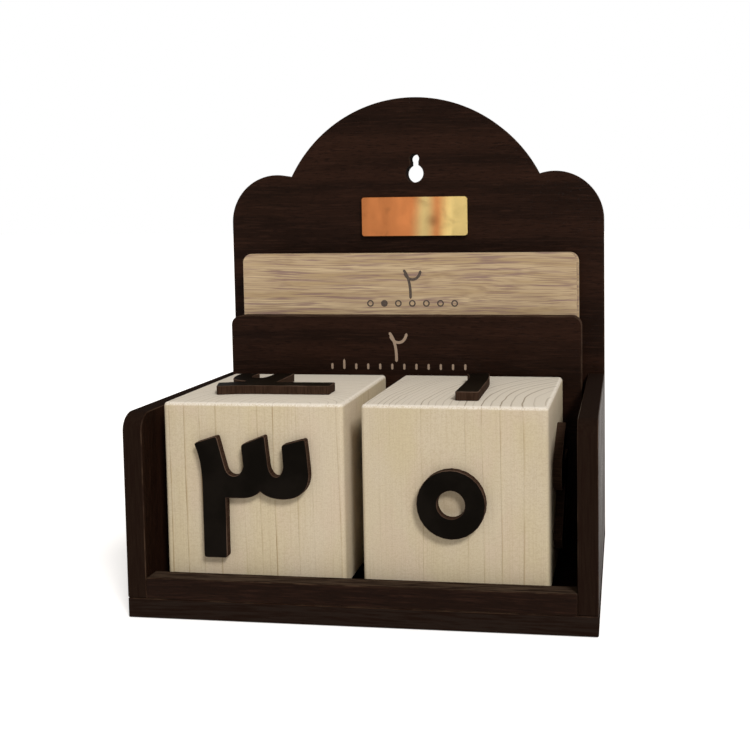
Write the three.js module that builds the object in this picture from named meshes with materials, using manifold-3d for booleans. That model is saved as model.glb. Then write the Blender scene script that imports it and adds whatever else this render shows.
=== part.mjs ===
// Perpetual desk calendar: an open tray of laminated board with a tall arched back,
// two loose wooden cubes with raised numerals, and loose month and weekday plates.
// Millimetres, +Z up, front toward -Y. The origin is the centre of the underside.

import * as THREE from "three";
import { RoundedBoxGeometry } from "three/addons/geometries/RoundedBoxGeometry.js";
import { mergeVertices } from "three/addons/utils/BufferGeometryUtils.js";
import Module from "manifold-3d";

const wasm = await Module();
wasm.setup();

// Driving sizes of the tray, whose depth follows from what stands in it
const trayWidth = 180;
const sideHeight = 71.2;
const sideCornerRadius = 6.9;
const board = 7.6;
const boardArris = 0.3;
const boardCornerRadius = 0.6;
const railHeight = 8.1;
const railProud = 0.3;
const glueLine = 0.1;

// Driving sizes of the back panel, its keyhole and its plaque
const backHeight = 209.5;
const archRadius = 67.2;
const shoulderRadius = 22.8;
const shoulderDrop = 35.6;
const keyholeAside = 0.6;
const keyholeDrop = 35.8;
const keyholeRadius = 4.3;
const keyholeRise = 6.9;
const keyholeSlotRadius = 2.3;
const keyholeNeckWidth = 3.9;
const plaqueWidth = 51.1;
const plaqueHeight = 18.8;
const plaqueThickness = 2;
const plaqueCornerRadius = 1.4;
const plaqueArris = 0.25;
const plaqueDrop = 11;

// Driving sizes of the numerals and the cubes, whose edge follows from the tray's width
const cubeArris = 1.6;
const numeralHeight = 47;
const numeralThickness = 3.5;
const numeralArris = 0.2;
const numeralCornerRadius = 1.1;
const numeralGlueLine = 0.05;
const restGap = 0.1;
const cubeSideGap = 1.3;
const cubeNeighbourGap = 0.5;
const cubeEndGap = 6.8;
const cubeRailGap = 0.7;

// Turns of the cubes as they lie in the tray, in degrees
const leftCubeTurn = 0.6;
const rightCubeTurn = -0.6;

// Driving sizes of the plates
const plateThickness = 3;
const plateArris = 0.25;
const plateCornerRadius = 4.2;
const plateGap = 0.2;
const plateCubeGap = 1.65;
const plateSlack = 9.8;
const monthPlateAsides = [-0.3, -0.1, -0.5];
const monthPlateSideGap = 1.7;
const monthPlateHeight = 100.4;
const dayPlateAsides = [-0.3, 0.5];
const dayPlateSideGap = 4;
const dayPlateHeight = 128.7;

// Driving sizes of the steel panel pins
const pinRadius = 0.7;
const pinClearance = 0.25;
const pinRecess = 0.4;
const longPinLength = 20;
const shortPinLength = 13;
const pinsAlongJoint = 3;
const overrun = 1;

// Facets along round stretches
const cornerSteps = 8;
const archSteps = 40;
const curveSteps = 14;
const cubeArrisSteps = 4;
const pinSides = 10;
const sandedSteps = 4;
const coincident = 0.001;

const X = new THREE.Vector3(1, 0, 0);
const Y = new THREE.Vector3(0, 1, 0);
const Z = new THREE.Vector3(0, 0, 1);
const left = X.clone().negate();
const front = Y.clone().negate();

const calendar = new THREE.Group();

// Materials
function finish(color, roughness, metalness) {
  return new THREE.MeshStandardMaterial({ color, roughness, metalness });
}

const darkBoard = () => finish(0x34241f, 0.5, 0);
const lightBoard = () => finish(0xc0aa8a, 0.55, 0);
const pine = () => finish(0xd8ccab, 0.6, 0);
const numeralBoard = () => finish(0x1b1714, 0.45, 0);
const brassMirror = () => finish(0xd39a5c, 0.15, 1);
const steel = () => finish(0x9a9a98, 0.35, 1);

// Solid helpers
function toSolid(geometry) {
  const bare = geometry.clone();
  bare.deleteAttribute("normal");
  bare.deleteAttribute("uv");
  const merged = mergeVertices(bare);
  const vertProperties = new Float32Array(merged.attributes.position.array);
  const triVerts = new Uint32Array(merged.index.array);
  return new wasm.Manifold(new wasm.Mesh({ numProp: 3, vertProperties, triVerts }));
}

function toGeometry(solid) {
  const mesh = solid.getMesh();
  const geometry = new THREE.BufferGeometry();
  geometry.setAttribute("position", new THREE.BufferAttribute(mesh.vertProperties, 3));
  geometry.setIndex(new THREE.BufferAttribute(mesh.triVerts, 1));
  geometry.computeVertexNormals();
  return geometry;
}

// Rectangle centred across, standing on its lower edge, whose high left corner can differ
function rectangle(width, height, radius, highLeftRadius = radius) {
  const half = width / 2;
  const outline = new THREE.Shape();
  outline.moveTo(-half + radius, 0);
  outline.lineTo(half - radius, 0);
  outline.absarc(half - radius, radius, radius, -Math.PI / 2, 0);
  outline.lineTo(half, height - radius);
  outline.absarc(half - radius, height - radius, radius, 0, Math.PI / 2);
  outline.lineTo(-half + highLeftRadius, height);
  outline.absarc(-half + highLeftRadius, height - highLeftRadius, highLeftRadius, Math.PI / 2, Math.PI);
  outline.lineTo(-half, radius);
  outline.absarc(-half + radius, radius, radius, Math.PI, Math.PI * 1.5);
  return outline;
}

// The corners of a path, without the doubled ones where its stretches meet
function corners(path, steps) {
  const points = path.getPoints(steps);
  return points.filter((point, i) => point.distanceTo(points.at(i - 1)) > coincident);
}

// An outline thickened from its plane along across x up, with eased edges
function slab(outline, thickness, arris, across, up, steps = cornerSteps) {
  const plain = new THREE.Shape(corners(outline, steps));
  plain.holes = outline.holes.map((hole) => new THREE.Path(corners(hole, steps)));
  const geometry = new THREE.ExtrudeGeometry(plain, {
    depth: thickness - 2 * arris,
    bevelEnabled: true,
    bevelThickness: arris,
    bevelSize: arris,
    bevelOffset: -arris,
    bevelSegments: 1,
  });
  geometry.translate(0, 0, arris);
  const facing = new THREE.Vector3().crossVectors(across, up);
  return geometry.applyMatrix4(new THREE.Matrix4().makeBasis(across, up, facing));
}

function addMesh(name, geometry, material, place, parent = calendar) {
  const mesh = new THREE.Mesh(geometry, material);
  mesh.name = name;
  mesh.position.copy(place);
  parent.add(mesh);
  return mesh;
}

// Steel panel pins along one joint, each with its start near the outer face and its direction
function pinRow(joint, start, end, direction, length) {
  const row = [];
  for (let i = 0; i < pinsAlongJoint; i += 1) {
    const share = (i + 0.5) / pinsAlongJoint;
    const name = `pin_${joint}_${i + 1}`;
    row.push({ name, joint, start: start.clone().lerp(end, share), direction, length });
  }
  return row;
}

function rod(pin, radius, before, after) {
  const length = pin.length + before + after;
  const geometry = new THREE.CylinderGeometry(radius, radius, length, pinSides);
  const turn = new THREE.Quaternion().setFromUnitVectors(Y, pin.direction);
  const middle = pin.start.clone().addScaledVector(pin.direction, (pin.length + after - before) / 2);
  geometry.applyQuaternion(turn);
  return geometry.translate(middle.x, middle.y, middle.z);
}

// Across the tray: the two cubes side by side with their numerals
const halfWidth = trayWidth / 2;
const innerHalfWidth = halfWidth - board;
const sideMiddle = innerHalfWidth + board / 2;
const numeralProud = numeralGlueLine + numeralThickness;
const cubeSpan = innerHalfWidth - (cubeSideGap + cubeNeighbourGap + cubeEndGap) / 2;
const cubeEdge = cubeSpan - 2 * numeralProud;

// Along the tray: the rail, the cubes, the month plates, the weekday plates and the back
const railFront = -railProud;
const railRear = railFront + board;
const railMiddle = railFront + board / 2;
const cubeFront = railRear + cubeRailGap;
const monthFront = cubeFront + cubeEdge + numeralProud + plateCubeGap;
const dayFront = monthFront + monthPlateAsides.length * (plateThickness + plateGap);
const sideDepth = dayFront + dayPlateAsides.length * (plateThickness + plateGap) + plateSlack;
const backFront = sideDepth + glueLine;
const backRear = backFront + board;
const pinRear = backRear - pinRecess;

// Up the tray
const baseTop = board;
const sideBottom = baseTop + glueLine;
const sideTop = sideBottom + sideHeight;
const cubeMiddle = baseTop + restGap + numeralProud + cubeEdge / 2;
const shoulderHeight = backHeight - shoulderDrop;
const keyholeHeight = backHeight - keyholeDrop;

const pins = [];
for (const [name, side] of [["left", -1], ["right", 1]]) {
  const x = side * sideMiddle;
  const underFront = new THREE.Vector3(x, 0, pinRecess);
  const underRear = new THREE.Vector3(x, sideDepth, pinRecess);
  const behindLow = new THREE.Vector3(x, pinRear, sideBottom);
  const behindHigh = new THREE.Vector3(x, pinRear, sideTop);
  pins.push(...pinRow(`base_to_${name}`, underFront, underRear, Z, longPinLength));
  pins.push(...pinRow(`back_to_${name}`, behindLow, behindHigh, front, longPinLength));
}
const behindLeft = new THREE.Vector3(-innerHalfWidth, pinRear, board / 2);
const behindRight = new THREE.Vector3(innerHalfWidth, pinRear, board / 2);
pins.push(...pinRow("back_to_base", behindLeft, behindRight, front, longPinLength));
const railLeft = new THREE.Vector3(-innerHalfWidth, railMiddle, pinRecess);
const railRight = new THREE.Vector3(innerHalfWidth, railMiddle, pinRecess);
pins.push(...pinRow("base_to_rail", railLeft, railRight, Z, shortPinLength));

const pinsIn = (place) => pins.filter((pin) => pin.joint.includes(place));

// A board bored for the pins that pass through it or end in it
function bored(geometry, place, borePins) {
  let solid = toSolid(geometry);
  for (const pin of borePins) {
    const bore = rod(pin, pinRadius + pinClearance, pinRecess + overrun, pinClearance);
    bore.translate(-place.x, -place.y, -place.z);
    solid = solid.subtract(toSolid(bore));
  }
  return toGeometry(solid);
}

function addBoard(name, geometry, place, borePins) {
  addMesh(name, bored(geometry, place, borePins), darkBoard(), place);
}

// Base plate, lying under the sides and the rail
const basePlace = new THREE.Vector3(0, 0, 0);
const baseOutline = rectangle(trayWidth, sideDepth, boardCornerRadius);
addBoard("base_plate", slab(baseOutline, board, boardArris, X, Y), basePlace, pinsIn("base"));

// Side panels, standing on the base with their front top corners rounded
for (const [name, side] of [["left", -1], ["right", 1]]) {
  const outline = rectangle(sideDepth, sideHeight, boardCornerRadius, sideCornerRadius);
  const place = new THREE.Vector3(side * sideMiddle - board / 2, sideDepth / 2, sideBottom);
  const geometry = slab(outline, board, boardArris, Y, Z, cornerSteps * 2);
  addBoard(`${name}_side_panel`, geometry, place, pinsIn(name));
}

// Front rail, a low strip between the sides that keeps the cubes in
const railLength = 2 * (innerHalfWidth - glueLine);
const railOutline = rectangle(railLength, railHeight, boardCornerRadius);
const railPlace = new THREE.Vector3(0, railRear, sideBottom);
addBoard("front_rail", slab(railOutline, board, boardArris, X, Z), railPlace, pinsIn("rail"));

// Back panel: a large arch between two smaller shoulders, which meet it in cusps
function backOutline() {
  const archCentre = backHeight - archRadius;
  const shoulderCentre = shoulderHeight - shoulderRadius;
  const shoulderX = halfWidth - shoulderRadius;
  const dx = shoulderX;
  const dz = shoulderCentre - archCentre;
  const apart = Math.hypot(dx, dz);
  const along = (apart ** 2 + archRadius ** 2 - shoulderRadius ** 2) / (2 * apart);
  const aside = Math.sqrt(archRadius ** 2 - along ** 2);
  const cuspX = (along * dx - aside * dz) / apart;
  const cuspZ = archCentre + (along * dz + aside * dx) / apart;
  const archAngle = Math.atan2(cuspZ - archCentre, cuspX);
  const shoulderAngle = Math.atan2(cuspZ - shoulderCentre, cuspX - shoulderX);
  const outline = new THREE.Shape();
  outline.moveTo(-halfWidth, 0);
  outline.lineTo(halfWidth, 0);
  outline.absarc(shoulderX, shoulderCentre, shoulderRadius, 0, shoulderAngle);
  outline.absarc(0, archCentre, archRadius, archAngle, Math.PI - archAngle);
  outline.absarc(-shoulderX, shoulderCentre, shoulderRadius, Math.PI - shoulderAngle, Math.PI);
  return outline;
}

// Keyhole: a round mouth for a nail head with a narrow round-ended slot above it
function keyhole() {
  const neck = keyholeNeckWidth / 2;
  const low = Math.acos(neck / keyholeRadius);
  const high = Math.asin(neck / keyholeSlotRadius);
  const slotHeight = keyholeHeight + keyholeRise;
  const hole = new THREE.Path();
  hole.moveTo(keyholeAside + neck, slotHeight - Math.cos(high) * keyholeSlotRadius);
  hole.absarc(keyholeAside, slotHeight, keyholeSlotRadius, high - Math.PI / 2, 1.5 * Math.PI - high);
  hole.lineTo(keyholeAside - neck, keyholeHeight + Math.sin(low) * keyholeRadius);
  hole.absarc(keyholeAside, keyholeHeight, keyholeRadius, Math.PI - low, 2 * Math.PI + low);
  return hole;
}

const backPlace = new THREE.Vector3(0, backRear, 0);
const backShape = backOutline();
backShape.holes.push(keyhole());
addBoard("back_panel", slab(backShape, board, boardArris, X, Z, archSteps), backPlace, pinsIn("back"));

// Plaque, a plain mirror-finished plate glued under the keyhole
const plaqueOutline = rectangle(plaqueWidth, plaqueHeight, plaqueCornerRadius);
const plaqueBottom = keyholeHeight - plaqueDrop - plaqueHeight;
const plaquePlace = new THREE.Vector3(keyholeAside, backFront - glueLine, plaqueBottom);
const plaqueShape = slab(plaqueOutline, plaqueThickness, plaqueArris, X, Z);
addMesh("plaque", plaqueShape, brassMirror(), plaquePlace);

// Panel pins
for (const pin of pins) {
  addMesh(pin.name, rod(pin, pinRadius, 0, 0), steel(), new THREE.Vector3());
}

// Numerals: each outline is a list of moves in shares of the numeral's height, centred on its face
function traced(moves, path = new THREE.Shape()) {
  const h = numeralHeight;
  for (const [move, ...shares] of moves) {
    if (move === "M") path.moveTo(shares[0] * h, shares[1] * h);
    if (move === "L") path.lineTo(shares[0] * h, shares[1] * h);
    if (move === "Q") path.quadraticCurveTo(...shares.map((share) => share * h));
    if (move === "C") path.bezierCurveTo(...shares.map((share) => share * h));
  }
  return path;
}

// The numerals one to four share a stem that leans at its head, drawn from its foot's left corner
const stemWidthShare = 0.196;
const footShare = -0.505;
const fourFootShare = -0.53;
const headShares = [
  ["L", 0, 0.08],
  ["Q", 0, 0.27, -0.047, 0.396],
  ["L", -0.062, 0.436],
  ["L", 0.128, 0.498],
];

function shifted(moves, acrossShare) {
  const shift = (share, i) => (i % 2 === 0 ? share + acrossShare : share);
  return moves.map(([move, ...shares]) => [move, ...shares.map(shift)]);
}

function stemmed(leftShare, rightShares, lowShare = footShare) {
  const start = ["M", leftShare, lowShare];
  const end = ["L", leftShare + stemWidthShare, lowShare];
  return traced([start, ...shifted(headShares, leftShare), ...rightShares, end]);
}

const oneLeftShare = -0.061;
const oneShares = [["Q", 0.122, 0.28, 0.122, 0.05]];
const twoLeftShare = -0.3;
const twoShares = [
  ["L", -0.106, 0.236],
  ["C", -0.08, 0.135, 0.08, 0.135, 0.128, 0.25],
  ["L", 0.115, 0.44],
  ["L", 0.31, 0.503],
  ["L", 0.345, 0.3],
  ["C", 0.375, 0.08, 0.25, -0.006, 0.1, -0.006],
  ["L", -0.114, -0.006],
];
const threeLeftShare = -0.411;
const threeShares = [
  ["L", -0.215, 0.236],
  ["C", -0.191, 0.147, -0.085, 0.147, -0.064, 0.253],
  ["L", -0.079, 0.428],
  ["L", 0.12, 0.508],
  ["L", 0.145, 0.257],
  ["C", 0.166, 0.143, 0.251, 0.143, 0.27, 0.249],
  ["L", 0.26, 0.43],
  ["L", 0.456, 0.483],
  ["L", 0.47, 0.36],
  ["L", 0.483, 0.204],
  ["C", 0.489, 0.06, 0.394, -0.013, 0.262, -0.013],
  ["Q", 0.138, -0.013, 0.074, 0.048],
  ["Q", 0.021, -0.01, -0.096, -0.01],
  ["L", -0.213, -0.01],
];
const fourLeftShare = -0.3;
const fourShares = [
  ["L", -0.12, 0.33],
  ["Q", -0.098, 0.262, -0.062, 0.3],
  ["C", -0.03, 0.44, 0.08, 0.506, 0.345, 0.485],
  ["L", 0.36, 0.32],
  ["C", 0.24, 0.33, 0.11, 0.345, 0.1, 0.25],
  ["C", 0.09, 0.17, 0.24, 0.17, 0.372, 0.175],
  ["L", 0.372, -0.006],
  ["L", -0.114, -0.006],
];
const fiveShares = [
  ["M", 0, 0.49],
  ["C", -0.1, 0.36, -0.4, 0.14, -0.4, -0.15],
  ["C", -0.4, -0.36, -0.28, -0.46, -0.17, -0.46],
  ["C", -0.08, -0.46, -0.02, -0.4, 0, -0.33],
  ["C", 0.02, -0.4, 0.08, -0.46, 0.17, -0.46],
  ["C", 0.28, -0.46, 0.4, -0.36, 0.4, -0.15],
  ["C", 0.4, 0.14, 0.1, 0.36, 0, 0.49],
];
const fiveHoleShares = [
  ["M", 0, 0.2],
  ["C", -0.1, 0.1, -0.2, -0.02, -0.2, -0.14],
  ["C", -0.2, -0.27, -0.05, -0.27, 0, -0.12],
  ["C", 0.05, -0.27, 0.2, -0.27, 0.2, -0.14],
  ["C", 0.2, -0.02, 0.1, 0.1, 0, 0.2],
];
const sixShares = [
  ["M", 0.096, 0.494],
  ["L", -0.319, 0.309],
  ["C", -0.48, 0.235, -0.47, 0.01, -0.3, 0],
  ["L", -0.02, 0.01],
  ["L", -0.42, -0.385],
  ["L", -0.3, -0.5],
  ["L", 0.35, 0.06],
  ["Q", 0.43, 0.15, 0.34, 0.195],
  ["L", -0.15, 0.188],
  ["L", 0.17, 0.33],
  ["L", 0.096, 0.494],
];
const sevenShares = [
  ["M", -0.4, 0.494],
  ["L", -0.11, -0.494],
  ["L", 0.11, -0.494],
  ["L", 0.4, 0.494],
  ["L", 0.205, 0.494],
  ["L", 0, -0.13],
  ["L", -0.205, 0.494],
  ["L", -0.4, 0.494],
];
const zeroRadiusShare = 0.278;
const zeroHoleRadiusShare = 0.113;
const nineCentreShares = [-0.06, 0.23];
const nineRadiusShare = 0.265;
const nineHoleRadiusShare = 0.1;
const nineFootShares = [
  ["M", 0.06, -0.494],
  ["L", 0.245, -0.494],
];
const nineLoopEnd = 1.6 * Math.PI;

function ringHole(acrossShare, upShare, radiusShare) {
  const hole = new THREE.Path();
  hole.absarc(
    acrossShare * numeralHeight,
    upShare * numeralHeight,
    radiusShare * numeralHeight,
    0,
    2 * Math.PI,
  );
  return hole;
}

function zero() {
  const outline = new THREE.Shape();
  outline.absarc(0, 0, zeroRadiusShare * numeralHeight, 0, 2 * Math.PI);
  outline.holes.push(ringHole(0, 0, zeroHoleRadiusShare));
  return outline;
}

function five() {
  const outline = traced(fiveShares);
  outline.holes.push(traced(fiveHoleShares, new THREE.Path()));
  return outline;
}

function nine() {
  const [across, up] = nineCentreShares;
  const outline = traced(nineFootShares);
  outline.absarc(
    across * numeralHeight,
    up * numeralHeight,
    nineRadiusShare * numeralHeight,
    0,
    nineLoopEnd,
  );
  outline.holes.push(ringHole(across, up, nineHoleRadiusShare));
  return outline;
}

// An outline with its outer corners sanded round, where it turns by more than its facets do
const sharpTurn = Math.PI / 6;
function sanded(outline) {
  const points = corners(outline, curveSteps);
  const winding = Math.sign(THREE.ShapeUtils.area(points));
  const eased = points.flatMap((point, i) => {
    const back = points.at(i - 1).clone().sub(point);
    const onward = points[(i + 1) % points.length].clone().sub(point);
    const turn = Math.atan2(-back.cross(onward), -back.dot(onward));
    if (turn * winding < sharpTurn) return [point];
    for (const side of [back, onward]) {
      side.setLength(Math.min(numeralCornerRadius, side.length() / 2)).add(point);
    }
    return new THREE.QuadraticBezierCurve(back, point, onward).getPoints(sandedSteps);
  });
  const shape = new THREE.Shape(eased);
  shape.holes = outline.holes;
  return shape;
}

// The seven serves as the eight when its cube is turned over
const glyphs = {
  0: zero,
  1: () => stemmed(oneLeftShare, oneShares),
  2: () => stemmed(twoLeftShare, twoShares),
  3: () => stemmed(threeLeftShare, threeShares),
  4: () => stemmed(fourLeftShare, fourShares, fourFootShare),
  5: five,
  6: () => traced(sixShares),
  7: () => traced(sevenShares),
  9: nine,
};

// A cube with a glued numeral on each face, in a group placed at its middle
function addCube(side, centreX, turn, faces) {
  const group = new THREE.Group();
  group.position.set(centreX, cubeFront + cubeEdge / 2, cubeMiddle);
  group.rotation.z = THREE.MathUtils.degToRad(turn);
  calendar.add(group);
  const block = new RoundedBoxGeometry(cubeEdge, cubeEdge, cubeEdge, cubeArrisSteps, cubeArris);
  addMesh(`${side}_cube`, block, pine(), new THREE.Vector3(), group);
  for (const [face, digit, across, up, offsetShares] of faces) {
    const facing = new THREE.Vector3().crossVectors(across, up);
    const place = facing.multiplyScalar(cubeEdge / 2 + numeralGlueLine);
    place.addScaledVector(across, offsetShares[0] * cubeEdge);
    place.addScaledVector(up, offsetShares[1] * cubeEdge);
    const outline = sanded(glyphs[digit]());
    const geometry = slab(outline, numeralThickness, numeralArris, across, up, curveSteps);
    addMesh(`${side}_numeral_${digit}_${face}`, geometry, numeralBoard(), place, group);
  }
}

// Where the numerals that show sit off their faces' centres, in shares of the cube's edge
const centredShares = [0, 0];
const topFourShares = [-0.035, 0.003];
const frontThreeShares = [0.004, 0];
const frontZeroShares = [-0.01, -0.013];
const topOneShares = [0.0225, -0.02];
const rightSixShares = [0, -0.015];
const leftCubeX = -innerHalfWidth + cubeSideGap + cubeSpan / 2;
addCube("left", leftCubeX, leftCubeTurn, [
  ["front", 3, X, Z, frontThreeShares],
  ["top", 4, Y, left, topFourShares],
  ["right", 1, Y, Z, centredShares],
  ["back", 2, left, Z, centredShares],
  ["left", 0, front, Z, centredShares],
  ["bottom", 5, X, front, centredShares],
]);
addCube("right", leftCubeX + cubeSpan + cubeNeighbourGap, rightCubeTurn, [
  ["front", 0, X, Z, frontZeroShares],
  ["top", 1, X, Y, topOneShares],
  ["right", 6, Y, Z, rightSixShares],
  ["back", 9, left, Z, centredShares],
  ["left", 2, front, Z, centredShares],
  ["bottom", 7, X, front, centredShares],
]);

// Plates, standing loose on the base behind the cubes, month plates before weekday plates
function addPlates(kind, asides, sideGap, height, firstFront, material) {
  const width = 2 * (innerHalfWidth - sideGap);
  asides.forEach((aside, i) => {
    const geometry = slab(rectangle(width, height, plateCornerRadius), plateThickness, plateArris, X, Z);
    const rear = firstFront + i * (plateThickness + plateGap) + plateThickness;
    const place = new THREE.Vector3(aside, rear, baseTop + restGap);
    addMesh(`${kind}_plate_${i + 1}`, geometry, material(), place);
  });
}

addPlates("month", monthPlateAsides, monthPlateSideGap, monthPlateHeight, monthFront, darkBoard);
addPlates("day", dayPlateAsides, dayPlateSideGap, dayPlateHeight, dayFront, lightBoard);

calendar.position.y = -(railFront + backRear) / 2;

export default calendar;
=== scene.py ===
"""A desk calendar: a dark laminate tray with an arched back, two pine cubes with raised numerals,
and loose month and weekday plates behind them.

Metres, +Z up, the front toward -Y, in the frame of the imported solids. The solids already have the
real shapes, so most pieces are the solids themselves with their real finish. The marks on the two
front plates are pieces of their own.
"""

import math

import bpy
import numpy as np
from mathutils import Euler, Matrix, Vector


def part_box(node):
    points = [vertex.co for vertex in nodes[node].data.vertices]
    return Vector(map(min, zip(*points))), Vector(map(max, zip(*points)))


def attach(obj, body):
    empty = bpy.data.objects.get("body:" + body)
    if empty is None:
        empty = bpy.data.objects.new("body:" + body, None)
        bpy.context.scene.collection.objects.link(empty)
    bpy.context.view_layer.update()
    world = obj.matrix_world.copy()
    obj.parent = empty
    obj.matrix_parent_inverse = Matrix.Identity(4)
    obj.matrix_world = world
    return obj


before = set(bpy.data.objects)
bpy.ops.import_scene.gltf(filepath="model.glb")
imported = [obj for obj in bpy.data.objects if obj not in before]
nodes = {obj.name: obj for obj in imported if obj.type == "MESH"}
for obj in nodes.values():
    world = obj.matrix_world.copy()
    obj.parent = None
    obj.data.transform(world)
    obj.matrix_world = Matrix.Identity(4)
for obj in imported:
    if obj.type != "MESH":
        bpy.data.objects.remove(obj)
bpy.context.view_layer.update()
mm = 0.001


# Camera
# The viewpoint was solved from the straight edges in the photograph. It is 0.35 m before the tray,
# to the right and above the cubes. The picture is a crop, so its optical centre is off the middle.
image_size = 750
sensor_width = 36.0
focal_length = 965.9
optical_centre = (502.45, 284.5)
camera_place = (99.15 * mm, -400.25 * mm, 149.98 * mm)
camera_yaw, camera_pitch, camera_roll = (math.radians(angle) for angle in (7.184, 3.668, -0.553))

camera = bpy.data.objects.new("camera", bpy.data.cameras.new("camera"))
camera.data.sensor_width = sensor_width
camera.data.lens = focal_length / image_size * sensor_width
camera.data.shift_x = 0.5 - optical_centre[0] / image_size
camera.data.shift_y = optical_centre[1] / image_size - 0.5
aimed = Euler((math.pi / 2 - camera_pitch, 0, camera_yaw)).to_matrix()
turned = aimed @ Matrix.Rotation(camera_roll, 3, "Z")
camera.matrix_world = Matrix.LocRotScale(Vector(camera_place), turned, None)
bpy.context.scene.collection.objects.link(camera)
bpy.context.scene.camera = camera
bpy.context.scene.view_settings.view_transform = "Standard"


# Light, floor and background
# A small photo studio: a wide soft key light from the upper right, even light from the room, and a
# white floor and backdrop. Only the camera sees the backdrop as pure white. Narrow strip lights
# stand in the room, for polished metal to mirror.
key_heading, key_height, key_spread = math.radians(36), math.radians(40), math.radians(15)
key_strength, key_colour = 2.4, "#fffcfa"
room_strength, room_colour, backdrop_colour = 0.44, "#fff8f1", "#ffffff"
front_reflection, rear_reflection = 0.08, 0.24
strip_strength, strip_gap, strip_count, strip_turn = 1.35, 0.4, 40, 3.94
# Where a strip fades in and out: upward from its foot, up to its head, and sideways as a cosine
strip_foot, strip_head, strip_side = (-0.08, 0.02), (0.3, 0.45), (-0.4, 0.9)
# Where the room in front turns into the backdrop behind
depth_turn = (-0.3, 0.3)
floor_size, floor_drop = 30.0, 0.3 * mm
floor_colour, floor_lift = "#e9e8e6", 0.52
smooth = {"interpolation_type": "SMOOTHSTEP"}


def linear(colour):
    """An sRGB hex colour as linear red, green, blue and alpha: a share up to 0.04045 is divided by
    12.92, and a larger one, with 0.055 added and divided by 1.055, is raised to the power 2.4."""
    shares = [int(colour[i : i + 2], 16) / 255 for i in (1, 3, 5)]
    return [s / 12.92 if s <= 0.04045 else ((s + 0.055) / 1.055) ** 2.4 for s in shares] + [1.0]


def add(tree, kind, sockets=(), **settings):
    """A node with its settings and links. Its kind is a shader node's name without the first
    words, or another node's in full. Its sockets are given by name, or in order from the first
    on, and each gets a value, a hex colour made linear, an output, or a node's first output."""
    made = tree.nodes.new(kind if "Node" in kind else "ShaderNode" + kind)
    for name, value in settings.items():
        setattr(made, name, value)
    for key, value in sockets.items() if isinstance(sockets, dict) else enumerate(sockets):
        source = value.outputs[0] if isinstance(value, bpy.types.Node) else value
        if isinstance(source, bpy.types.NodeSocket):
            tree.links.new(source, made.inputs[key])
        else:
            made.inputs[key].default_value = linear(value) if isinstance(value, str) else value
    return made


key = bpy.data.lights.new("key_light", "SUN")
key.energy, key.color, key.angle = key_strength, linear(key_colour)[:3], key_spread
key_holder = bpy.data.objects.new("key_light", key)
key_holder.rotation_euler = (math.pi / 2 - key_height, 0, key_heading)
bpy.context.scene.collection.objects.link(key_holder)

world = bpy.data.worlds.new("studio")
bpy.context.scene.world = world
world.use_nodes = True
tree = world.node_tree
tree.nodes.clear()
ray = add(tree, "LightPath").outputs
toward = add(tree, "SeparateXYZ", (add(tree, "TexCoord").outputs["Generated"],)).outputs
heading = add(tree, "Math", (toward["X"], toward["Y"]), operation="ARCTAN2")
turns = add(tree, "Math", (heading, strip_count, strip_turn), operation="MULTIPLY_ADD")
beat = add(tree, "Math", (turns,), operation="COSINE")
foot = add(tree, "MapRange", (toward["Z"], *strip_foot, 0.0, strip_strength), **smooth)
standing = add(tree, "MapRange", (toward["Z"], *strip_head, foot, 0.0), **smooth)
gap = add(tree, "Math", (standing, strip_gap, front_reflection), operation="MULTIPLY_ADD")
strips = add(tree, "MapRange", (beat, *strip_side, gap, standing), **smooth)
# Reflections see a grey backdrop behind the object, and the dimmer room in front of it
reflected = add(tree, "MapRange", (toward["Y"], *depth_turn, strips, rear_reflection), **smooth)
straight = (ray["Is Camera Ray"], ray["Is Transmission Ray"])
seen = add(tree, "Math", straight, operation="MAXIMUM")
lit = add(tree, "Mix", {"Factor": ray["Is Glossy Ray"], "A": room_strength, "B": reflected})
strength = add(tree, "Mix", {"Factor": seen, "A": lit, "B": 1.0})
tint = add(tree, "MixRGB", (seen, room_colour, backdrop_colour))
add(tree, "OutputWorld", {"Surface": add(tree, "Background", (tint, strength))})


def new_material(name):
    """An empty node material, and its tree."""
    material = bpy.data.materials.new(name)
    material.use_nodes = True
    material.node_tree.nodes.clear()
    return material, material.node_tree


# The floor is matte white paper. The camera alone sees it lifted toward the white of the backdrop.
floor_paper, tree = new_material("matte_white_paper")
camera_only = add(tree, "LightPath").outputs["Is Camera Ray"]
lift = add(tree, "Math", (camera_only, floor_lift), operation="MULTIPLY")
paper = add(tree, "BsdfDiffuse", {"Color": floor_colour})
lifted = add(tree, "AddShader", (paper, add(tree, "Emission", {"Strength": lift})))
add(tree, "OutputMaterial", {"Surface": lifted})

reach = floor_size / 2
corners = ((-reach, -reach), (reach, -reach), (reach, reach), (-reach, reach))
floor_mesh = bpy.data.meshes.new("floor")
floor_mesh.from_pydata([(x, y, -floor_drop) for x, y in corners], [], [(0, 1, 2, 3)])
floor_mesh.materials.append(floor_paper)
floor = bpy.data.objects.new("floor", floor_mesh)
bpy.context.scene.collection.objects.link(floor)


# Tray boards
# Chipboard with a melamine laminate printed as wenge: a satin face with faint pressed pores, and
# matte sawn edges that are stained to match. The boards are glued and pinned.
wenge_dark, wenge_brown, wenge_red, wenge_pore = "#1b0f09", "#291810", "#37231a", "#140a06"
wenge_sawn, sides_sawn, rail_sawn, wenge_worn = "#221914", "#1f140d", "#43362b", "#463629"
wenge_sway = (140 * mm, 2.5 * mm)
# A pattern's size is its length along the grain and its width across it
band_size, streak_size, pore_size = (200 * mm, 11 * mm), (16 * mm, 0.8 * mm), (4 * mm, 0.35 * mm)
wear_size, smudge_size = 9 * mm, 35 * mm
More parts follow.
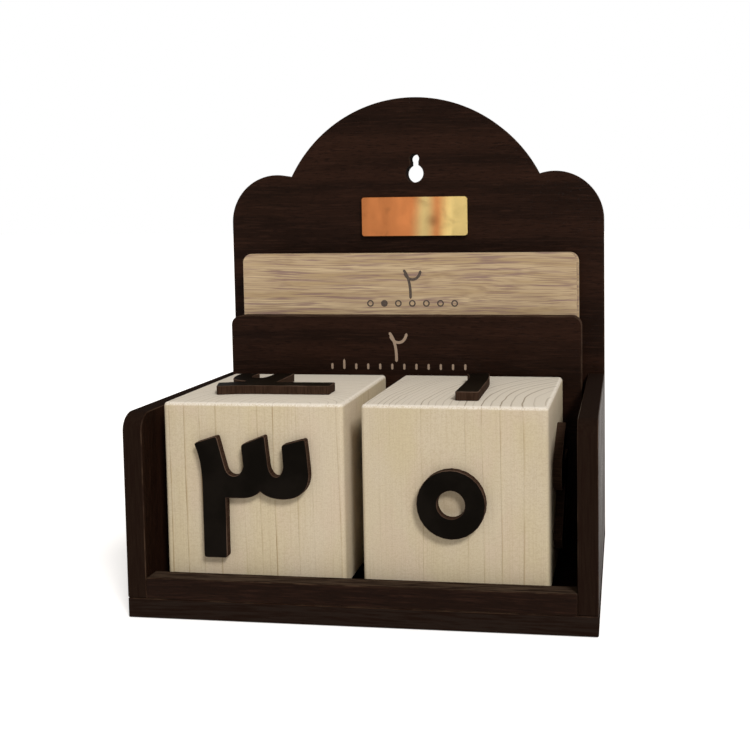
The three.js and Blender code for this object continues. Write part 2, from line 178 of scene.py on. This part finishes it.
# A ramp is a stretch of a pattern's value, and what the two ends of the stretch are turned into
band_ramp, reddish_ramp, pore_ramp = (0.36, 0.64, 0, 1), (0.45, 0.75, 0, 0.5), (0.53, 0.68, 0, 0.7)
sawn_turn, sawn_streak_ramp = (0.3, 0.5), (0.42, 0.62, 0, 1)
arris_start, arris_end, wear_ramp = (0.35, 0.6, 0, 1), (0.8, 0.95, 1, 0), (0.42, 0.66, 0.1, 0.7)
laminate_ior, laminate_sheen, laminate_relief = 1.5, 0.05, -0.05 * mm
smudge_ramp, sawn_roughness = (0.3, 0.7, 0.29, 0.43), 0.9
along_x, along_y, along_z = 0, 1, 2


def grained(tree, place, grain, size, sockets, **settings):
    """Noise drawn out along the grain: its place is divided by the pattern's length on the grain
    axis, and by the pattern's width on the two others."""
    scale = [1 / size[1]] * 3
    scale[grain] = 1 / size[0]
    drawn_out = add(tree, "Mapping", {"Vector": place, "Scale": scale})
    return add(tree, "TexNoise", {"Vector": drawn_out, "Scale": 1.0, **sockets}, **settings)


def swayed(tree, place, grain, sway):
    """A place shifted across the grain, so that the figure wanders as in a sawn board. The shift
    is a slow noise less one half, times twice the height of the sway."""
    length, height = sway
    slow = grained(tree, place, grain, (length, length / 3), {"Detail": 1.0}).outputs["Color"]
    centred = add(tree, "VectorMath", (slow, (0.5, 0.5, 0.5)), operation="SUBTRACT")
    most = [height * 2] * 3
    most[grain] = 0
    shift = add(tree, "VectorMath", (centred, most), operation="MULTIPLY")
    return add(tree, "VectorMath", (place, shift), operation="ADD")


def squareness(tree, facing):
    """How squarely the surface faces along an axis: the size of its normal's part on that axis,
    which is 0 on a cut edge and 1 on a face."""
    normal = add(tree, "SeparateXYZ", (add(tree, "TexCoord").outputs["Normal"],))
    return add(tree, "Math", (normal.outputs[facing],), operation="ABSOLUTE")


def layered(tree, colour, layers):
    """Colours laid over a first one in turn. A layer is a pattern, a ramp that turns the pattern's
    value into a share, and a colour that covers what is under it by that share."""
    for pattern, ramp, cover in layers:
        share = add(tree, "MapRange", (pattern, *ramp), **smooth)
        colour = add(tree, "MixRGB", (share, colour, cover))
    return colour


def shaded(tree, height, relief, sockets):
    """The surface with its sockets, and with a bump that is relief metres high where the height
    is 1. A negative relief presses in."""
    bump = add(tree, "Bump", {"Height": height, "Distance": relief})
    surface = add(tree, "BsdfPrincipled", {"Normal": bump, **sockets})
    add(tree, "OutputMaterial", {"Surface": surface})


def wenge_laminate(name, grain, facing, edge_colour=wenge_sawn):
    """Printed laminate: slow bands, streaks and dark pores along the grain. Its sawn edges are
    matte and streaked, and its arrises are worn pale in patches."""
    material, tree = new_material(name)
    place = add(tree, "TexCoord").outputs["Object"]
    wander = swayed(tree, place, grain, wenge_sway)
    band = grained(tree, wander, grain, band_size, {"Detail": 2.0})
    streak = grained(tree, wander, grain, streak_size, {"Detail": 4.0, "Roughness": 0.6})
    pore = grained(tree, wander, grain, pore_size, {"Detail": 2.0})
    pores = add(tree, "MapRange", (pore, *pore_ramp), **smooth)
    stripes = [(band, band_ramp, wenge_brown), (streak, reddish_ramp, wenge_red)]
    printed = add(tree, "MixRGB", (pores, layered(tree, wenge_dark, stripes), wenge_pore))

    square = squareness(tree, facing)
    sawn = layered(tree, edge_colour, [(streak, sawn_streak_ramp, wenge_dark)])
    colour = layered(tree, printed, [(square, (*sawn_turn, 1, 0), sawn)])

    off_edge = add(tree, "MapRange", (square, *arris_start), **smooth)
    off_face = add(tree, "MapRange", (square, *arris_end), **smooth)
    arris = add(tree, "Math", (off_edge, off_face), operation="MULTIPLY")
    wear = add(tree, "TexNoise", {"Vector": place, "Scale": 1 / wear_size, "Detail": 3.0})
    patches = add(tree, "MapRange", (wear, *wear_ramp), **smooth)
    worn = add(tree, "Math", (arris, patches), operation="MULTIPLY")
    colour = add(tree, "MixRGB", (worn, colour, wenge_worn))

    smudge = add(tree, "TexNoise", {"Vector": place, "Scale": 1 / smudge_size, "Detail": 3.0})
    satin = add(tree, "MapRange", (smudge, *smudge_ramp), **smooth)
    rough = add(tree, "MapRange", (square, *sawn_turn, sawn_roughness, satin), **smooth)
    height = add(tree, "Math", (pores, streak), operation="SUBTRACT")
    surface = {
        "Base Color": colour,
        "Roughness": rough,
        "IOR": laminate_ior,
        "Specular IOR Level": laminate_sheen,
    }
    shaded(tree, height, laminate_relief, surface)
    return material


# A round stretch of a solid is cut into flats. This modifier shades them as one smooth surface.
flattest_crease = math.radians(28)
join_distance = 0.001 * mm


def smooth_stretches(limit):
    """Joins a solid's triangles, and shades smoothly over every edge flatter than the limit."""
    group = bpy.data.node_groups.new("smooth_round_stretches", "GeometryNodeTree")
    for direction in ("INPUT", "OUTPUT"):
        group.interface.new_socket("Geometry", in_out=direction, socket_type="NodeSocketGeometry")
    loose = {"Geometry": add(group, "NodeGroupInput"), "Distance": join_distance}
    joined = add(group, "GeometryNodeMergeByDistance", loose)
    rounded = add(group, "GeometryNodeSetShadeSmooth", {"Geometry": joined})
    bend = add(group, "GeometryNodeInputMeshEdgeAngle")
    compared = {"data_type": "FLOAT", "operation": "GREATER_THAN"}
    steep = add(group, "FunctionNodeCompare", (bend.outputs["Unsigned Angle"], limit), **compared)
    edges = {"Geometry": rounded, "Selection": steep, "Shade Smooth": False}
    creased = add(group, "GeometryNodeSetShadeSmooth", edges, domain="EDGE")
    add(group, "NodeGroupOutput", (creased,))
    return group


smooth_group = smooth_stretches(flattest_crease)


def dress(name, material):
    """Gives a solid its finish, and smooth shading over its round stretches."""
    solid = nodes[name]
    solid.data.materials.clear()
    solid.data.materials.append(material)
    solid.modifiers.new("smooth", "NODES").node_group = smooth_group


dress("base_plate", wenge_laminate("wenge_laminate_base", along_x, along_z))
sides_finish = wenge_laminate("wenge_laminate_sides", along_z, along_x, sides_sawn)
dress("left_side_panel", sides_finish)
dress("right_side_panel", sides_finish)
dress("back_panel", wenge_laminate("wenge_laminate_upright", along_x, along_y))
# The rail's sawn top edge and ends are a paler brown than the other boards' sawn edges
dress("front_rail", wenge_laminate("wenge_laminate_rail", along_x, along_y, rail_sawn))


# Panel pins
# Bright steel wire, 1.4 mm thick, cut into pins that are driven through one board into the next
# and sunk just under its surface. Drawing the wire has left fine grey scratches, which are made
# coarse enough here to show.
steel_bright, steel_grey = "#b9b8b4", "#8f8d88"
scratch_size, scratch_ramp, scratch_relief = 0.4 * mm, (0.4, 0.7, 0, 1), 0.01 * mm
steel_roughness = (0.3, 0.7, 0.25, 0.42)

pin_finish, tree = new_material("drawn_steel_wire")
place = add(tree, "TexCoord").outputs["Object"]
scratch = add(tree, "TexNoise", {"Vector": place, "Scale": 1 / scratch_size, "Detail": 2.0})
colour = layered(tree, steel_bright, [(scratch, scratch_ramp, steel_grey)])
rough = add(tree, "MapRange", (scratch, *steel_roughness), **smooth)
shaded(tree, scratch, scratch_relief, {"Base Color": colour, "Roughness": rough, "Metallic": 1.0})
for name in nodes:
    if name.startswith("pin_"):
        dress(name, pin_finish)


# Plaque
# A thin metal plate with a mirror polish, glued under the keyhole. It is copper, with a painted
# reflection laid into its colour: two bands of pale gold, one right of the middle and one at the
# right end, and dark brown patches. Its face is left plain. It is a little wavy, and so is what it
# mirrors. The polishing lines are made coarse enough here to show.
copper, gold, bright_gold, painted_dark_reflection = "#c97643", "#d6c184", "#f7df94", "#7f5231"
wave_size, wave_drift, wave_relief = (30 * mm, 9 * mm), 8 * mm, 0.25 * mm
# The painted reflection's gold bands and dark patch are measured from the middle of the plaque
band_middle, band_reach, end_band = 4.5 * mm, 7 * mm, 13 * mm
gold_ramp, bright_ramp = (0, band_reach, 0.9, 0.1), (end_band, end_band + band_reach * 1.5, 0, 0.9)
patch_size, dark_reflection_patch_ramp = 11 * mm, (0.58, 0.76, 0, 0.35)
dark_reflection_place, dark_reflection_reach = (9 * mm, 0, -2 * mm), 7 * mm
dark_reflection_ramp = (dark_reflection_reach * 0.6, dark_reflection_reach * 1.2, 0.6, 0)
brush_size, brush_relief = (8 * mm, 0.2 * mm), 0.002 * mm
polish_roughness = (0.3, 0.7, 0.1, 0.18)

plaque_finish, tree = new_material("polished_copper_with_painted_reflection")
place = add(tree, "TexCoord").outputs["Object"]
low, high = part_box("plaque")
centred = add(tree, "VectorMath", (place, (low + high) / 2), operation="SUBTRACT")
across = add(tree, "SeparateXYZ", (centred,)).outputs["X"]
wave = grained(tree, place, along_z, wave_size, {"Detail": 0.5})
drifted = add(tree, "Math", (wave, wave_drift, across), operation="MULTIPLY_ADD")
past_band = add(tree, "Math", (drifted, band_middle + wave_drift / 2), operation="SUBTRACT")
off_band = add(tree, "Math", (past_band,), operation="ABSOLUTE")
off_dark_reflection = add(tree, "VectorMath", (centred, dark_reflection_place), operation="DISTANCE").outputs["Value"]
clouded = {"Vector": place, "Scale": 1 / patch_size, "Detail": 4.0, "Distortion": 0.6}
patch = add(tree, "TexNoise", clouded)
ragged_dark_reflection = add(tree, "Math", (patch, dark_reflection_reach, off_dark_reflection), operation="MULTIPLY_ADD")
# Painted reflection: gold bands and dark brown patches laid over the copper
painted_reflection_layers = [
    (off_band, gold_ramp, gold),
    (drifted, bright_ramp, bright_gold),
    (patch, dark_reflection_patch_ramp, painted_dark_reflection),
    (ragged_dark_reflection, dark_reflection_ramp, painted_dark_reflection),
]
brush = grained(tree, place, along_x, brush_size, {"Detail": 2.0})
wavy = add(tree, "Bump", {"Height": wave, "Distance": wave_relief})
brushed = add(tree, "Bump", {"Height": brush, "Distance": brush_relief, "Normal": wavy})
surface = {
    "Base Color": layered(tree, copper, painted_reflection_layers),
    "Roughness": add(tree, "MapRange", (patch, *polish_roughness), **smooth),
    "Metallic": 1.0,
    "Normal": brushed,
}
add(tree, "OutputMaterial", {"Surface": add(tree, "BsdfPrincipled", surface)})
dress("plaque", plaque_finish)


# Weekday plates
# 3 mm board with a pale oak laminate, printed with mauve-brown dashes along its length. The corners
# are rounded, and the sawn edges show the greyish core, painted darker as the shade in the gap
# between the stacked plates. Fine hairs are pressed into the satin face.
oak_pale, oak_cream, oak_warm = "#b9a281", "#c9b38f", "#b19974"
oak_dash, oak_vein, oak_core_and_gap_shade = "#866c65", "#8a7058", "#7b6a56"
oak_sway = (90 * mm, 3 * mm)
oak_tone_size, dash_size, hair_size = (80 * mm, 3.2 * mm), (26 * mm, 1.1 * mm), (24 * mm, 0.3 * mm)
pale_ramp, cream_ramp, core_and_gap_shade_ramp = (0.35, 0.5, 0, 1), (0.5, 0.65, 0, 1), (0.3, 0.9, 1, 0)
dash_ramp, hair_ramp = (0.5, 0.66, 0, 0.8), (0.48, 0.62, 0, 0.7)
oak_roughness, oak_sheen, oak_relief = (0.3, 0.7, 0.46, 0.58), 0.4, -0.04 * mm

oak_finish, tree = new_material("oak_laminate")
place = add(tree, "TexCoord").outputs["Object"]
wander = swayed(tree, place, along_x, oak_sway)
tone = grained(tree, wander, along_x, oak_tone_size, {"Detail": 3.0})
dash = grained(tree, wander, along_x, dash_size, {"Detail": 3.0, "Roughness": 0.55})
hair = grained(tree, wander, along_x, hair_size, {"Detail": 2.0})
oak_layers = [(tone, pale_ramp, oak_pale), (tone, cream_ramp, oak_cream), (hair, hair_ramp, oak_vein)]
dashes = add(tree, "MapRange", (dash, *dash_ramp), **smooth)
printed = add(tree, "MixRGB", (dashes, layered(tree, oak_warm, oak_layers), oak_dash))
# Sawn edges: the core's colour, darkened as painted shade of the gap between plates
colour = layered(tree, printed, [(squareness(tree, along_y), core_and_gap_shade_ramp, oak_core_and_gap_shade)])
rough = add(tree, "MapRange", (tone, *oak_roughness), **smooth)
height = add(tree, "Math", (hair, dashes), operation="ADD")
surface = {
    "Base Color": colour,
    "Roughness": rough,
    "IOR": laminate_ior,
    "Specular IOR Level": oak_sheen,
}
shaded(tree, height, oak_relief, surface)
dress("day_plate_1", oak_finish)
dress("day_plate_2", oak_finish)


# Month plates
# 3 mm board with the tray's dark laminate. The sawn edges are a paler grey-brown, so the stack
# shows as thin light lines.
plates_sawn = "#4c3a2e"

month_finish = wenge_laminate("wenge_laminate_plates", along_x, along_y, plates_sawn)
for number in (1, 2, 3):
    dress(f"month_plate_{number}", month_finish)


# Marks on the two front plates
# Engraved by laser and filled: a written two, over seven rings on the weekday plate with the second
# filled, and over twelve ticks on the month plate with the second taller. The fill stands 0.03 mm
# proud of the face and goes 0.1 mm into it. It is a matte paste, a little mottled.
mark_proud, mark_sunk, mark_step = 0.03 * mm, 0.1 * mm, 0.002 * mm
stroke_width, curve_steps, narrowest = 1.25 * mm, 28, 0.05
numeral_height, numeral_rise, row_drop = 13.5 * mm, 3.4 * mm, 5.4 * mm
ring_count, ring_radius, ring_line, ring_pitch = 7, 1.6 * mm, 0.65 * mm, 6.6 * mm
tick_count, tick_width, tick_pitch, tick_steps = 12, 1 * mm, 5.6 * mm, 12
tick_height, tall_tick_height = 2.8 * mm, 4.8 * mm
chosen = 1
day_centre, month_centre = (2.3 * mm, 118.6 * mm), (-2.5 * mm, 90.6 * mm)
day_ink, month_ink, ink_haze, haze_share = "#43372e", "#98836f", "#8f8378", 0.25
mottle_size, mottle_ramp, mottle_relief = 0.5 * mm, (0.4, 0.7, 0, 1), 0.03 * mm
fill_roughness, fill_ior = (0.3, 0.7, 0.6, 0.8), 1.5

# The written two in shares of its height: a leaning stem, then a shallow bowl from its head
stem_controls = np.array([(-0.06, -0.5), (-0.04, -0.05), (-0.12, 0.3), (-0.3, 0.5)])
bowl_controls = np.array([(-0.26, 0.4), (-0.16, 0.08), (0.24, 0.06), (0.3, 0.48)])


def bezier(controls, count):
    """Points on a cubic curve: its four controls weighted by (1-t)^3, 3t(1-t)^2, 3t^2(1-t) and
    t^3, where t goes from 0 to 1."""
    t = np.linspace(0, 1, count)[:, None]
    weights = np.hstack([(1 - t) ** 3, 3 * t * (1 - t) ** 2, 3 * t**2 * (1 - t), t**3])
    return weights @ controls


def bar(controls, width, count):
    """A round-ended stroke, whose sides are half a width to the left and right of a curve. Near an
    end that half is times the root of 1 - (1 - c)^2, where c is the distance to the end over half
    the width, and no less than its narrowest share. Gives left, middle and right points."""
    spine = bezier(controls, count)
    step = np.gradient(spine, axis=0)
    step /= np.linalg.norm(step, axis=1, keepdims=True)
    normal = np.stack([-step[:, 1], step[:, 0]], axis=1)
    walked = np.concatenate([[0], np.cumsum(np.linalg.norm(np.diff(spine, axis=0), axis=1))])
    to_end = np.minimum(walked, walked[-1] - walked)
    cap = np.clip(to_end / (width / 2), 0, 1)
    half = width / 2 * np.sqrt(1 - (1 - cap) ** 2)[:, None].clip(narrowest)
    return np.stack([spine - normal * half, spine, spine + normal * half], axis=1)


def disc(centre, inner, outer, count):
    """A ring: a radius from inner to outer times the cosine and sine of an angle that goes once
    round. With no inner radius it is a disc, with a pinhole in its middle."""
    angle = np.linspace(0, 2 * np.pi, count + 1)
    circle = np.stack([np.cos(angle), np.sin(angle)], axis=1)
    radii = np.linspace(max(inner, narrowest * outer), outer, 3)
    return np.asarray(centre) + circle[:, None, :] * radii[None, :, None]


def written_two(centre):
    """The two strokes of the numeral: controls times its height, a rise above the centre."""
    middle = np.array(centre) + (0, numeral_rise)
    strokes = (stem_controls, bowl_controls)
    return [bar(controls * numeral_height + middle, stroke_width, curve_steps) for controls in strokes]


def row_places(centre, count, pitch):
    """Places side by side, a pitch apart and as far to the left as to the right of the centre, a
    drop below it."""
    return [(centre[0] + (i - (count - 1) / 2) * pitch, centre[1] - row_drop) for i in range(count)]


def marks(name, grids, front, ink, body):
    """One piece of all strokes. Each grid of (x, z) points becomes a thin closed sheet whose front
    lies proud of the plate's face at y = front and whose rear lies inside the plate. Each sheet
    stands a hair further out than the one before, so that crossing strokes don't flicker."""
    points, faces, count = [], [], 0
    for number, grid in enumerate(grids):
        rows, columns = grid.shape[:2]
        side = rows * columns
        index = np.arange(side).reshape(rows, columns) + count
        flat = grid.reshape(-1, 2)
        for y in (front - mark_proud - number * mark_step, front + mark_sunk):
            points.append(np.stack([flat[:, 0], np.full(side, y), flat[:, 1]], axis=1))
        corners = [index[:-1, :-1], index[:-1, 1:], index[1:, 1:], index[1:, :-1]]
        quads = np.stack(corners, axis=-1).reshape(-1, 4)
        rim = np.concatenate([index[0, :], index[1:, -1], index[-1, -2::-1], index[-2:0:-1, 0]])
        following = np.roll(rim, -1)
        wall = np.stack([rim, rim + side, following + side, following], axis=1)
        faces += [quads, (quads + side)[:, ::-1], wall]
        count += 2 * side
    mesh = bpy.data.meshes.new(name)
    mesh.from_pydata(np.concatenate(points).tolist(), [], np.concatenate(faces).tolist())
    piece = bpy.data.objects.new(name, mesh)
    bpy.context.scene.collection.objects.link(piece)

    fill, tree = new_material(name + "_fill")
    place = add(tree, "TexCoord").outputs["Object"]
    mottle = add(tree, "TexNoise", {"Vector": place, "Scale": 1 / mottle_size, "Detail": 2.0})
    hazy = add(tree, "MixRGB", (haze_share, ink, ink_haze))
    colour = layered(tree, ink, [(mottle, mottle_ramp, hazy)])
    rough = add(tree, "MapRange", (mottle, *fill_roughness), **smooth)
    surface = {"Base Color": colour, "Roughness": rough, "IOR": fill_ior}
    shaded(tree, mottle, mottle_relief, surface)
    mesh.materials.append(fill)
    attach(piece, body)


rings = []
for i, place in enumerate(row_places(day_centre, ring_count, ring_pitch)):
    inner = 0 if i == chosen else ring_radius - ring_line
    rings.append(disc(place, inner, ring_radius, curve_steps))
weekday_grids = written_two(day_centre) + rings
marks("weekday_marks", weekday_grids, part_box("day_plate_1")[0].y, day_ink, "first_day_plate")

ticks = []
for i, place in enumerate(row_places(month_centre, tick_count, tick_pitch)):
    top = (tall_tick_height if i == chosen else tick_height) - tick_height / 2
    controls = np.array([(0, -tick_height / 2), (0, 0), (0, 0), (0, top)]) + place
    ticks.append(bar(controls, tick_width, tick_steps))
month_grids = written_two(month_centre) + ticks
marks("month_marks", month_grids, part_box("month_plate_1")[0].y, month_ink, "first_month_plate")


# Pine cubes
# Sanded softwood blocks, sawn with the grain upright. The growth rings show as arcs on the end
# grain on top and as fine upright lines on the sides, which are dull and slightly rough. Each block
# has its own distance to the pith.
pine_early, pine_cream, pine_rose = "#c8bb9b", "#cbbfa8", "#cbbaa5"
pine_warm, pine_late, pine_painted_shade = "#b5a489", "#98805c", "#8d7a5f"
pine_end, pine_end_warm, pine_end_late, pine_fuzz_and_highlight = "#d9d2c4", "#cfc5b0", "#84735b", "#e0d9cc"
bend_size, bend_reach = (150 * mm, 28 * mm), 5 * mm
pine_tone_size, blush_size, broken_size = (60 * mm, 26 * mm), (22 * mm, 11 * mm), (16 * mm, 5 * mm)
fibre_size, saw_size, speckle_size = (30 * mm, 0.35 * mm), (0.7 * mm, 1.8 * mm), 0.45 * mm
# Late wood rises and falls near the end of each ring, and is strong in some rings only
late_start, late_end = (0.78, 0.95, 0, 1), (0.96, 1, 1, 0)
end_strength_ramp, side_strength_ramp = (0.1, 0.95, 0.3, 1), (0.45, 0.95, 0.05, 1)
plain_turn, plain_share, broken_ramp = (0.4, 0.62), 0.15, (0.4, 0.6, 0.4, 1.15)
cream_wood_ramp, rose_ramp = (0.35, 0.65, 0, 1), (0.46, 0.66, 0, 0.55)
fibre_ramp, saw_ramp, painted_shade_ramp = (0.45, 0.75, 0, 0.35), (0.4, 0.75, 0, 0.3), (3 * mm, 6 * mm, 0.45, 0)
speckle_ramp, end_speckle_ramp = (0.42, 0.7, 0, 0.5), (0.4, 0.7, 0, 0.6)
end_ramp, end_grain_ramp = (0.5, 0.9, 0, 1), (0.35, 0.75, 0, 1)
# Where the pale fibres and the painted highlight lie, on the arrises between long faces and end grain
fuzz_highlight_start, fuzz_highlight_end, fuzz_highlight_ramp = (0.1, 0.45, 0, 1), (0.93, 1, 1, 0), (0.35, 0.6, 0.1, 1)
pine_roughness, pine_ior, pine_sheen, pine_relief = (0.3, 0.7, 0.6, 0.72), 1.5, 0.25, 0.06 * mm
# Noise takes a seed as its fourth coordinate
with_seed = {"noise_dimensions": "4D"}


def growth_rings(tree, place, seed, pith, lean, ring_step, ring_power):
    """The late wood's share on the end grain and on the long faces. The number of rings out to a
    point is its distance from the pith, an upright line at x and y, over ring_step, raised to
    ring_power: 1 keeps the rings apart by one step, 2 crowds them as they go out. lean tilts the
    tree across z, and slow noise bends it. Each ring has a thin line of late wood at its outer
    rim, and a strength of its own: on the long faces only the strong ones show."""
    bend = grained(tree, place, along_z, bend_size, {"Detail": 2.0, "W": seed}, **with_seed)
    shift = add(tree, "VectorMath", (bend.outputs["Color"], (0.5, 0.5, 0.5)), operation="SUBTRACT")
    most = (bend_reach, bend_reach, 0)
    bent = add(tree, "VectorMath", (shift, most, place), operation="MULTIPLY_ADD")
    part = add(tree, "SeparateXYZ", (bent,)).outputs
    leant = add(tree, "Math", (part["Z"], lean, part["X"]), operation="MULTIPLY_ADD")
    level = add(tree, "CombineXYZ", {"X": leant, "Y": part["Y"]})
    away = add(tree, "VectorMath", (level, (*pith, 0)), operation="DISTANCE").outputs["Value"]
    steps = add(tree, "Math", (away, ring_step), operation="DIVIDE")
    rings = add(tree, "Math", (steps, ring_power), operation="POWER")
    within = add(tree, "Math", (rings,), operation="FRACT")
    rise = add(tree, "MapRange", (within, *late_start), **smooth)
    fall = add(tree, "MapRange", (within, *late_end), **smooth)
    rim = add(tree, "Math", (rise, fall), operation="MULTIPLY")
    numbered = add(tree, "Math", (rings, seed), operation="ADD")
    number = add(tree, "Math", (numbered,), operation="FLOOR")
    strength = add(tree, "TexWhiteNoise", {"W": number}, noise_dimensions="1D").outputs["Value"]
    end_strength = add(tree, "MapRange", (strength, *end_strength_ramp), **smooth)
    side_strength = add(tree, "MapRange", (strength, *side_strength_ramp), **smooth)
    end_late = add(tree, "Math", (rim, end_strength), operation="MULTIPLY")
    side_late = add(tree, "Math", (rim, side_strength), operation="MULTIPLY")
    return end_late, side_late


def pine(name, trunk, seed, side_contrast, end_contrast, painted_shade_place=None):
    """Pine cut from a trunk, which says how its rings lie. The contrasts are how clearly the late
    wood shows on the long faces and on the end grain. Around the last place, if one is given, the
    long faces carry a painted shade."""
    material, tree = new_material(name)
    place = add(tree, "TexCoord").outputs["Object"]
    end_late, side_late = growth_rings(tree, place, seed, **trunk)

    # The long faces: cream wood with a blush, fibres, saw marks and broken lines of late wood
    tone = grained(tree, place, along_z, pine_tone_size, {"Detail": 3.0, "W": seed}, **with_seed)
    blush = grained(tree, place, along_z, blush_size, {"Detail": 4.0, "W": seed + 1}, **with_seed)
    fibre = grained(tree, place, along_z, fibre_size, {"Detail": 3.0})
    saw = grained(tree, place, along_z, saw_size, {"Detail": 3.0})
    speckle = add(tree, "TexNoise", {"Vector": place, "Scale": 1 / speckle_size, "Detail": 2.0})
    side_layers = [
        (tone, cream_wood_ramp, pine_cream),
        (blush, rose_ramp, pine_rose),
        (fibre, fibre_ramp, pine_warm),
        (saw, saw_ramp, pine_warm),
        (speckle, speckle_ramp, pine_warm),
    ]
    plain_ramp = (*plain_turn, side_contrast, side_contrast * plain_share)
    plain = add(tree, "MapRange", (tone, *plain_ramp), **smooth)
    clear_late = add(tree, "Math", (side_late, plain), operation="MULTIPLY")
    breaks = grained(tree, place, along_z, broken_size, {"Detail": 3.0})
    broken = add(tree, "MapRange", (breaks, *broken_ramp), **smooth)
    broken_late = add(tree, "Math", (clear_late, broken), operation="MULTIPLY")
    side = add(tree, "MixRGB", (broken_late, layered(tree, pine_early, side_layers), pine_late))
    # Painted shade darkens the long faces around the given place
    if painted_shade_place:
        off_painted_shade = add(tree, "VectorMath", (place, painted_shade_place), operation="DISTANCE").outputs["Value"]
        side = layered(tree, side, [(off_painted_shade, painted_shade_ramp, pine_painted_shade)])

    # The end grain on top and below, with sawn fibres that stand up pale along its arrises. The pale
    # band there is partly a painted highlight where the eased arrises catch the light.
    end = layered(tree, pine_end, [(speckle, end_speckle_ramp, pine_end_warm)])
    clear_end_late = add(tree, "Math", (end_late, end_contrast), operation="MULTIPLY")
    end = add(tree, "MixRGB", (clear_end_late, end, pine_end_late))
    upward = squareness(tree, along_z)
    colour = layered(tree, side, [(upward, end_ramp, end)])
    off_side = add(tree, "MapRange", (upward, *fuzz_highlight_start), **smooth)
    off_end = add(tree, "MapRange", (upward, *fuzz_highlight_end), **smooth)
    arris = add(tree, "Math", (off_side, off_end), operation="MULTIPLY")
    tufts_and_highlight = add(tree, "MapRange", (speckle, *fuzz_highlight_ramp), **smooth)
    fuzz_and_highlight = add(tree, "Math", (arris, tufts_and_highlight), operation="MULTIPLY")
    colour = add(tree, "MixRGB", (fuzz_and_highlight, colour, pine_fuzz_and_highlight))

    # Fibres and late wood stand proud on the long faces, and the open pores on the end grain
    ribbed = add(tree, "Math", (fibre, side_late), operation="ADD")
    on_end = add(tree, "MapRange", (upward, *end_grain_ramp), **smooth)
    height = add(tree, "Mix", {"Factor": on_end, "A": ribbed, "B": speckle})
    surface = {
        "Base Color": colour,
        "Roughness": add(tree, "MapRange", (fibre, *pine_roughness), **smooth),
        "IOR": pine_ior,
        "Specular IOR Level": pine_sheen,
    }
    shaded(tree, height, pine_relief, surface)
    return material


left_trunk = {"pith": (-20 * mm, -50 * mm), "lean": 0.015, "ring_step": 3.2 * mm, "ring_power": 1}
left_pine = pine("pine_left", left_trunk, seed=3, side_contrast=0.9, end_contrast=0.4)
dress("left_cube", left_pine)

right_trunk = {"pith": (118 * mm, -38.5 * mm), "lean": 0.005, "ring_step": 21.7 * mm, "ring_power": 2}
# Painted shade: the wood inside the right cube's ring is darkened where the ring's wall shades it
low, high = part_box("right_numeral_0_front")
ring_hole = ((low.x + high.x) / 2, high.y, (low.z + high.z) / 2)
right_pine = pine(
    "pine_right", right_trunk, seed=7, side_contrast=0.5, end_contrast=0.9, painted_shade_place=ring_hole
)
dress("right_cube", right_pine)


# Numerals
# Cut from 3.5 mm board with a near-black satin face. The sawn walls show the dark brown core, matte
# and streaked by the saw, and are worn pale in patches along the arrises, which is partly a painted
# highlight on the edges. The numerals are glued to the cubes.
face_black, face_dust = "#0a0704", "#120e0a"
core_brown, core_burnt, core_rubbed_and_highlight = "#3e2d23", "#2c1e15", "#6b574a"
grit_size, dust_size, kerf_size = 0.8 * mm, 12 * mm, (6 * mm, 0.5 * mm)
dust_ramp, kerf_ramp, face_turn = (0.4, 0.7, 0, 1), (0.35, 0.7, 0, 1), (0.8, 0.95)
rub_highlight_start, rub_highlight_ramp = (0.4, 0.65, 0, 1), (0.4, 0.65, 0.1, 0.6)
wall_roughness, face_roughness = 0.75, 0.4
board_ior, board_sheen, board_relief = 1.5, 0.04, 0.02 * mm

finishes = {}
for axis in (along_x, along_y, along_z):
    finishes[axis], tree = new_material(f"black_faced_board_{'xyz'[axis]}")
    place = add(tree, "TexCoord").outputs["Object"]
    grit = add(tree, "TexNoise", {"Vector": place, "Scale": 1 / grit_size, "Detail": 3.0})
    dust = add(tree, "TexNoise", {"Vector": place, "Scale": 1 / dust_size, "Detail": 3.0})
    kerf = grained(tree, place, axis, kerf_size, {"Detail": 2.0})
    square = squareness(tree, axis)
    # Pale patches along the arrises: partly wear, partly painted highlight
    arris = add(tree, "MapRange", (square, *rub_highlight_start), **smooth)
    patches = add(tree, "MapRange", (dust, *rub_highlight_ramp), **smooth)
    rubbed_and_highlight = add(tree, "Math", (arris, patches), operation="MULTIPLY")
    wall = layered(tree, core_burnt, [(kerf, kerf_ramp, core_brown)])
    wall = add(tree, "MixRGB", (rubbed_and_highlight, wall, core_rubbed_and_highlight))
    face = layered(tree, face_black, [(dust, dust_ramp, face_dust)])
    colour = layered(tree, wall, [(square, (*face_turn, 0, 1), face)])
    rough = add(tree, "MapRange", (square, *face_turn, wall_roughness, face_roughness), **smooth)
    surface = {
        "Base Color": colour,
        "Roughness": rough,
        "IOR": board_ior,
        "Specular IOR Level": board_sheen,
    }
    shaded(tree, grit, board_relief, surface)

facing_axes = {
    "front": along_y,
    "back": along_y,
    "left": along_x,
    "right": along_x,
    "top": along_z,
    "bottom": along_z,
}
for name in nodes:
    if "_numeral_" in name:
        dress(name, finishes[facing_axes[name.rsplit("_", 1)[1]]])
